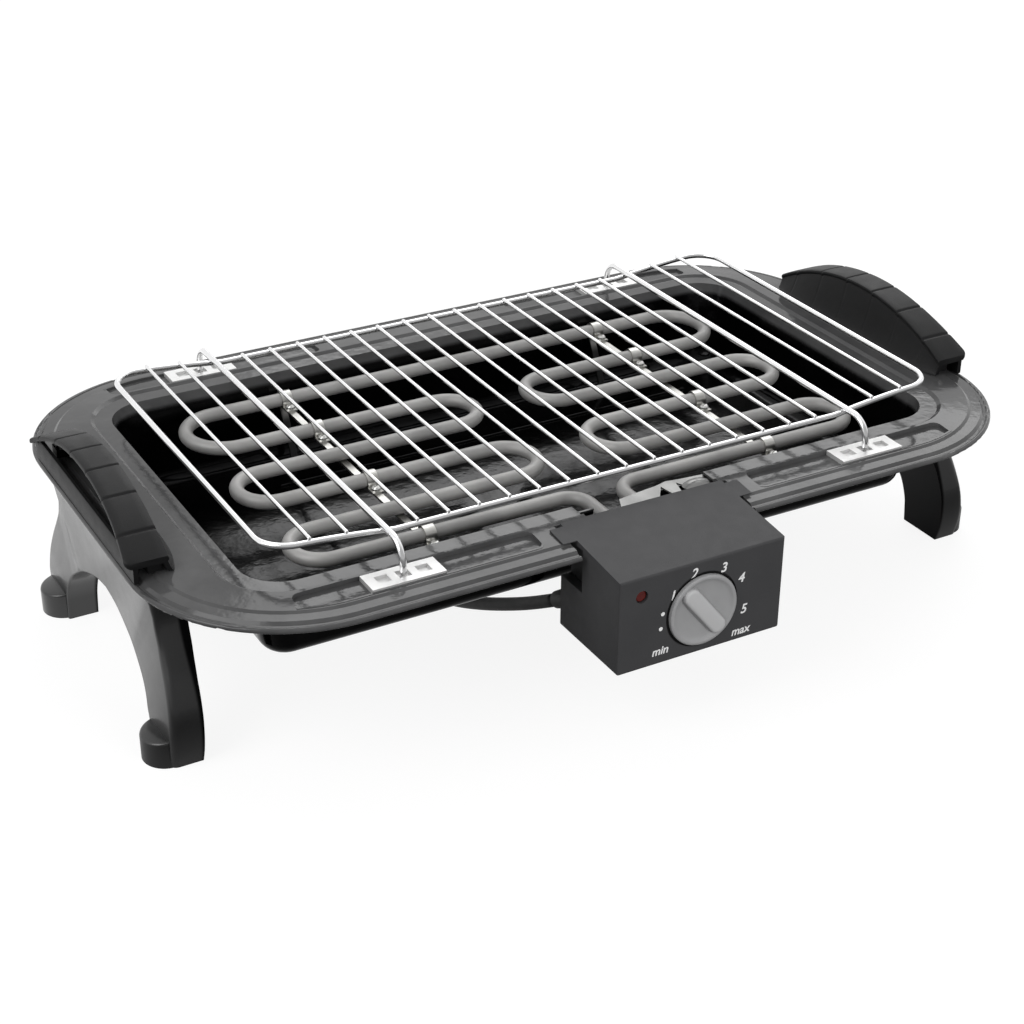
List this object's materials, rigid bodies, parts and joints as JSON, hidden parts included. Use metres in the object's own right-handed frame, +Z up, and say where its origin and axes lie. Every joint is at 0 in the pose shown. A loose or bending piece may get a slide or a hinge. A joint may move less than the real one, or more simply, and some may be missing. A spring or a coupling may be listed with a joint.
{
  "type": "electric grill",
  "caption": "Electric table grill: enamelled tub on two moulded side supports, wire rack and lift-out tubular heater with a thermostat box.",
  "frame": {"origin": "under the middle of the grill's box without its cord, on the surface that it stands on", "axes": "+X to the right along the tub, +Y to the back, away from the control box, +Z up"},
  "size_m": [0.496, 0.4347, 0.1245],
  "materials": {
    "enamel": "gloss black vitreous enamel",
    "support_plastic": "fine grained dark grey moulding",
    "handle_plastic": "fine grained dark grey moulding",
    "box_plastic": "fine grained dark grey moulding",
    "knob_plastic": "satin dark grey moulding",
    "tie_plastic": "black strap",
    "rack_chrome": "bright chromed wire",
    "plate_steel": "bright plated sheet",
    "shield_steel": "bright plated sheet",
    "element_steel": "dull grey sheathed tube",
    "bracket_steel": "zinc-plated sheet",
    "screw_steel": "zinc-plated screws",
    "lens_red": "clear red lens",
    "cord_rubber": "black rubber cord",
    "pin_brass": "nickelled brass pins"
  },
  "bodies": {
    "base": {"cord_coil": "cord_rubber", "cord_tie": "tie_plastic", "handle_left": "handle_plastic", "handle_mounts_left": "handle_plastic", "handle_mounts_right": "handle_plastic", "handle_right": "handle_plastic", "height_plate_front_left": "plate_steel", "height_plate_front_right": "plate_steel", "height_plate_rear_left": "plate_steel", "height_plate_rear_right": "plate_steel", "mount_screws_left": "screw_steel", "mount_screws_right": "screw_steel", "plug_body": "cord_rubber", "plug_pins": "pin_brass", "power_cord": "cord_rubber", "side_support_left": "support_plastic", "side_support_right": "support_plastic", "tub": "enamel"},
    "heater_unit": {"heating_element": "element_steel", "element_bracket_left": "bracket_steel", "element_bracket_right": "bracket_steel", "element_clips_left": "bracket_steel", "element_clips_right": "bracket_steel", "clip_screws_left": "screw_steel", "clip_screws_right": "screw_steel", "heat_shield": "shield_steel", "box_cover": "box_plastic", "box_back": "box_plastic", "thermostat_body": "bracket_steel", "indicator_lens": "lens_red", "strain_relief": "cord_rubber"},
    "rack": {"rack_frame": "rack_chrome", "rack_rods": "rack_chrome", "rack_leg_left": "rack_chrome", "rack_leg_right": "rack_chrome"},
    "knob": {"knob": "knob_plastic", "thermostat_shaft": "bracket_steel"}
  },
  "joints": [
    {"name": "heater_lift", "type": "slide", "parent": "base", "child": "heater_unit", "axis": [0, 0, 1], "range_m": [0, 0.032]},
    {"name": "rack_lift", "type": "slide", "parent": "heater_unit", "child": "rack", "axis": [0, 0, 1], "range_m": [0, 0.06]},
    {"name": "knob_turn", "type": "hinge", "parent": "heater_unit", "child": "knob", "pos_m": [0, -0.1607, 0.0655], "axis": [0, 1, 0], "range_deg": [-86, 166]}
  ]
}
